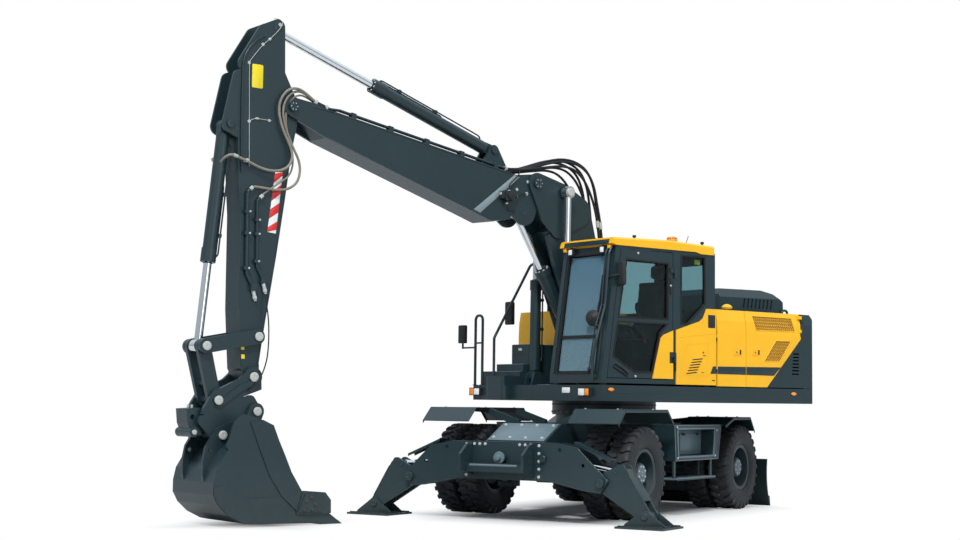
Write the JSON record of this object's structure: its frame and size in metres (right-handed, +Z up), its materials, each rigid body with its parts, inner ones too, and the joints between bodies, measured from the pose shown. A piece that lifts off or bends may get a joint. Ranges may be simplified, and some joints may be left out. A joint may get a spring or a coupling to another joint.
{
  "type": "wheeled excavator",
  "caption": "Wheeled excavator with two-piece boom, quick coupler and bucket, twin tyres, stabilisers in front and dozer blade behind, upper body slewed from the undercarriage.",
  "frame": {"origin": "on the ground under the slewing axis", "axes": "+X forward along the boom, +Y to the cab side, +Z up"},
  "size_m": [8.6201, 4.8846, 5.393],
  "materials": {
    "dark_paint": "satin paint, dark slate green",
    "yellow_paint": "satin paint, warm yellow",
    "rim_paint": "satin paint, dusty",
    "tyre": "worn rubber with dust",
    "chrome": "polished rods",
    "glass": "clear, slightly grey",
    "lamp_glass": "ribbed lamp glass",
    "cast_iron": "rough",
    "black_plastic": "grained",
    "seat_fabric": "woven"
  },
  "bodies": {
    "undercarriage": {"chassis": "dark_paint", "stabiliser_beam": "dark_paint", "front_axle": "dark_paint", "rear_axle": "dark_paint", "fenders": "dark_paint", "side_steps": "dark_paint"},
    "upper": {"upper_frame": "dark_paint", "counterweight": "dark_paint", "side_panels": "yellow_paint", "engine": "cast_iron", "step_boxes": "dark_paint", "cab_shell": "dark_paint", "cab_roof": "yellow_paint", "cab_glass": "glass", "seat": "seat_fabric", "controls": "black_plastic", "handrails": "dark_paint", "lamps": "lamp_glass"},
    "hood": {"hood": "dark_paint"},
    "front_panel_door": {"front_panel_door": "yellow_paint"},
    "rear_panel_door": {"rear_panel_door": "yellow_paint"},
    "cab_door": {"cab_door": "dark_paint", "door_glass": "glass", "door_panel": "yellow_paint"},
    "lower_boom": {"lower_boom": "dark_paint"},
    "upper_boom": {"upper_boom": "dark_paint"},
    "arm": {"arm": "dark_paint"},
    "rockers": {"rockers": "dark_paint"},
    "push_link": {"push_link": "dark_paint"},
    "lift_barrels": {"lift_barrels": "dark_paint"},
    "lift_rods": {"lift_rods": "chrome"},
    "adjust_barrel": {"adjust_barrel": "dark_paint"},
    "adjust_rod": {"adjust_rod": "chrome"},
    "arm_barrel": {"arm_barrel": "dark_paint"},
    "arm_rod": {"arm_rod": "chrome"},
    "bucket_barrel": {"bucket_barrel": "dark_paint"},
    "bucket_rod": {"bucket_rod": "chrome"},
    "blade": {"blade": "dark_paint"},
    "blade_barrels": {"blade_barrels": "dark_paint"},
    "blade_rods": {"blade_rods": "chrome"},
    "bucket": {"bucket": "dark_paint", "coupler": "dark_paint"},
    "knuckle_left": {"knuckle_left": "dark_paint"},
    "stabiliser_arm_left": {"stabiliser_arm_left": "dark_paint"},
    "stabiliser_pad_left": {"stabiliser_pad_left": "dark_paint"},
    "stabiliser_barrel_left": {"stabiliser_barrel_left": "dark_paint"},
    "stabiliser_rod_left": {"stabiliser_rod_left": "chrome"},
    "wheels_front_left": {"tyres_front_left": "tyre", "rims_front_left": "rim_paint"},
    "wheels_rear_left": {"tyres_rear_left": "tyre", "rims_rear_left": "rim_paint"},
    "knuckle_right": {"knuckle_right": "dark_paint"},
    "stabiliser_arm_right": {"stabiliser_arm_right": "dark_paint"},
    "stabiliser_pad_right": {"stabiliser_pad_right": "dark_paint"},
    "stabiliser_barrel_right": {"stabiliser_barrel_right": "dark_paint"},
    "stabiliser_rod_right": {"stabiliser_rod_right": "chrome"},
    "wheels_front_right": {"tyres_front_right": "tyre", "rims_front_right": "rim_paint"},
    "wheels_rear_right": {"tyres_rear_right": "tyre", "rims_rear_right": "rim_paint"}
  },
  "joints": [
    {"name": "slew", "type": "hinge", "parent": "undercarriage", "child": "upper", "pos_m": [0, 0, 1.31], "axis": [0, 0, 1], "continuous": true},
    {"name": "lower_boom", "type": "hinge", "parent": "upper", "child": "lower_boom", "pos_m": [0.2, -0.05, 1.86], "axis": [0, 1, 0], "range_deg": [-8, 55]},
    {"name": "upper_boom", "type": "hinge", "parent": "lower_boom", "child": "upper_boom", "pos_m": [1.22, -0.05, 3.93], "axis": [0, -1, 0], "range_deg": [-35, 25]},
    {"name": "arm", "type": "hinge", "parent": "upper_boom", "child": "arm", "pos_m": [4.618, -0.05, 4.456], "axis": [0, -1, 0], "range_deg": [-10, 65]},
    {"name": "bucket", "type": "hinge", "parent": "arm", "child": "bucket", "pos_m": [5.031, -0.05, 1.54], "axis": [0, 1, 0], "range_deg": [-80, 30]},
    {"name": "lift_swing", "type": "hinge", "parent": "upper", "child": "lift_barrels", "pos_m": [0.84, -0.05, 1.62], "axis": [0, 1, 0], "range_deg": [-8.28, 55.75]},
    {"name": "lift_stroke", "type": "slide", "parent": "lift_barrels", "child": "lift_rods", "axis": [-0.0112, 0, 0.9999], "range_m": [-0.6328, 0.0937]},
    {"name": "adjust_swing", "type": "hinge", "parent": "lower_boom", "child": "adjust_barrel", "pos_m": [0.56, -0.05, 2.26], "axis": [0, -1, 0], "range_deg": [-3.7, 5.1]},
    {"name": "adjust_stroke", "type": "slide", "parent": "adjust_barrel", "child": "adjust_rod", "axis": [0.5375, 0, 0.8433], "range_m": [-0.1814, 0.1301]},
    {"name": "arm_cylinder_swing", "type": "hinge", "parent": "upper_boom", "child": "arm_barrel", "pos_m": [1.8, -0.05, 4.28], "axis": [0, -1, 0], "range_deg": [-0.67, 3.24]},
    {"name": "arm_cylinder_stroke", "type": "slide", "parent": "arm_barrel", "child": "arm_rod", "axis": [0.9459, 0, 0.3245], "range_m": [-0.9096, 0.1416]},
    {"name": "bucket_cylinder_swing", "type": "hinge", "parent": "arm", "child": "bucket_barrel", "pos_m": [5.347, -0.05, 4.193], "axis": [0, 1, 0], "range_deg": [-0.99, 2.3]},
    {"name": "bucket_cylinder_stroke", "type": "slide", "parent": "bucket_barrel", "child": "bucket_rod", "axis": [0.1036, 0, -0.9946], "range_m": [-0.6275, 0.2366]},
    {"name": "rockers", "type": "hinge", "parent": "arm", "child": "rockers", "pos_m": [4.983, -0.05, 1.965], "axis": [0, 1, 0], "range_deg": [-64.47, 24.3]},
    {"name": "push_link", "type": "hinge", "parent": "bucket", "child": "push_link", "pos_m": [5.447, -0.05, 1.293], "axis": [0, 1, 0], "range_deg": [-22.76, 60.35]},
    {"name": "steer_left", "type": "hinge", "parent": "undercarriage", "child": "knuckle_left", "pos_m": [1.13201, 1.05428, 0.5275], "axis": [0, 0, 1], "range_deg": [-25, 25]},
    {"name": "wheel_front_left", "type": "hinge", "parent": "knuckle_left", "child": "wheels_front_left", "pos_m": [0.98164, 1.4314, 0.5275], "axis": [-0.3704, 0.9289, 0], "continuous": true},
    {"name": "steer_right", "type": "hinge", "parent": "undercarriage", "child": "knuckle_right", "pos_m": [1.54686, 0.01394, 0.5275], "axis": [0, 0, 1], "range_deg": [-25, 25]},
    {"name": "wheel_front_right", "type": "hinge", "parent": "knuckle_right", "child": "wheels_front_right", "pos_m": [1.69724, -0.36318, 0.5275], "axis": [-0.3704, 0.9289, 0], "continuous": true},
    {"name": "wheel_rear_left", "type": "hinge", "parent": "undercarriage", "child": "wheels_rear_left", "pos_m": [-1.66566, 0.37578, 0.5275], "axis": [-0.3704, 0.9289, 0], "continuous": true},
    {"name": "wheel_rear_right", "type": "hinge", "parent": "undercarriage", "child": "wheels_rear_right", "pos_m": [-0.95005, -1.41881, 0.5275], "axis": [-0.3704, 0.9289, 0], "continuous": true},
    {"name": "stabiliser_left", "type": "hinge", "parent": "undercarriage", "child": "stabiliser_arm_left", "pos_m": [1.74555, 2.00085, 0.458], "axis": [0.9289, 0.3704, 0], "range_deg": [-8, 95]},
    {"name": "stabiliser_swing_left", "type": "hinge", "parent": "undercarriage", "child": "stabiliser_barrel_left", "pos_m": [2.00186, 1.35807, 0.7], "axis": [0.9289, 0.3704, 0], "range_deg": [-0.33, 1.72]},
    {"name": "stabiliser_stroke_left", "type": "slide", "parent": "stabiliser_barrel_left", "child": "stabiliser_rod_left", "axis": [-0.3674, 0.9214, -0.1265], "range_m": [-0.3051, 0.0275]},
    {"name": "pad_left", "type": "hinge", "parent": "stabiliser_arm_left", "child": "stabiliser_pad_left", "pos_m": [1.55739, 2.47272, 0.125], "axis": [0.9289, 0.3704, 0], "range_deg": [-12, 12]},
    {"name": "stabiliser_right", "type": "hinge", "parent": "undercarriage", "child": "stabiliser_arm_right", "pos_m": [2.64338, -0.25074, 0.458], "axis": [-0.9289, -0.3704, 0], "range_deg": [-8, 95]},
    {"name": "stabiliser_swing_right", "type": "hinge", "parent": "undercarriage", "child": "stabiliser_barrel_right", "pos_m": [2.38707, 0.39204, 0.7], "axis": [-0.9289, -0.3704, 0], "range_deg": [-0.33, 1.72]},
    {"name": "stabiliser_stroke_right", "type": "slide", "parent": "stabiliser_barrel_right", "child": "stabiliser_rod_right", "axis": [0.3674, -0.9214, -0.1265], "range_m": [-0.3051, 0.0275]},
    {"name": "pad_right", "type": "hinge", "parent": "stabiliser_arm_right", "child": "stabiliser_pad_right", "pos_m": [2.83155, -0.72261, 0.125], "axis": [0.9289, 0.3704, 0], "range_deg": [-12, 12]},
    {"name": "blade", "type": "hinge", "parent": "undercarriage", "child": "blade", "pos_m": [-1.62553, -0.64819, 0.52], "axis": [-0.3704, 0.9289, 0], "range_deg": [-8, 28]},
    {"name": "blade_swing", "type": "hinge", "parent": "undercarriage", "child": "blade_barrels", "pos_m": [-1.79737, -0.71671, 1], "axis": [-0.3704, 0.9289, 0], "range_deg": [-3.55, 11.92]},
    {"name": "blade_stroke", "type": "slide", "parent": "blade_barrels", "child": "blade_rods", "axis": [-0.3633, -0.1449, -0.9203], "range_m": [-0.1893, 0.0555]},
    {"name": "cab_door", "type": "hinge", "parent": "upper", "child": "cab_door", "pos_m": [0.008, 1.266, 2.3], "axis": [0, 0, 1], "range_deg": [0, 160]},
    {"name": "hood", "type": "hinge", "parent": "upper", "child": "hood", "pos_m": [-1.394, 0, 2.481], "axis": [0, 1, 0], "range_deg": [0, 60]},
    {"name": "front_panel_door", "type": "hinge", "parent": "upper", "child": "front_panel_door", "pos_m": [-0.692, 1.262, 2], "axis": [0, 0, 1], "range_deg": [-110, 0]},
    {"name": "rear_panel_door", "type": "hinge", "parent": "upper", "child": "rear_panel_door", "pos_m": [-2.19, 1.268, 2.3], "axis": [0, 0, 1], "range_deg": [0, 110]}
  ],
  "couplings": [
    {"joint": "lift_swing", "follows": "lower_boom", "ratio": 1.01},
    {"joint": "lift_stroke", "follows": "lower_boom", "m_per_rad": -0.6571},
    {"joint": "adjust_swing", "follows": "upper_boom", "ratio": -0.1401},
    {"joint": "adjust_stroke", "follows": "upper_boom", "m_per_rad": 0.2936},
    {"joint": "arm_cylinder_swing", "follows": "arm", "ratio": 0.0468},
    {"joint": "arm_cylinder_stroke", "follows": "arm", "m_per_rad": -0.8},
    {"joint": "bucket_cylinder_swing", "follows": "bucket", "ratio": -0.0262},
    {"joint": "bucket_cylinder_stroke", "follows": "bucket", "m_per_rad": 0.448},
    {"joint": "rockers", "follows": "bucket", "ratio": 0.8034},
    {"joint": "push_link", "follows": "bucket", "ratio": -0.7519},
    {"joint": "steer_right", "follows": "steer_left", "ratio": 1},
    {"joint": "stabiliser_swing_left", "follows": "stabiliser_left", "ratio": 0.016},
    {"joint": "stabiliser_stroke_left", "follows": "stabiliser_left", "m_per_rad": -0.1828},
    {"joint": "stabiliser_swing_right", "follows": "stabiliser_right", "ratio": 0.016},
    {"joint": "stabiliser_stroke_right", "follows": "stabiliser_right", "m_per_rad": -0.1828},
    {"joint": "blade_swing", "follows": "blade", "ratio": 0.4185},
    {"joint": "blade_stroke", "follows": "blade", "m_per_rad": -0.3833}
  ]
}
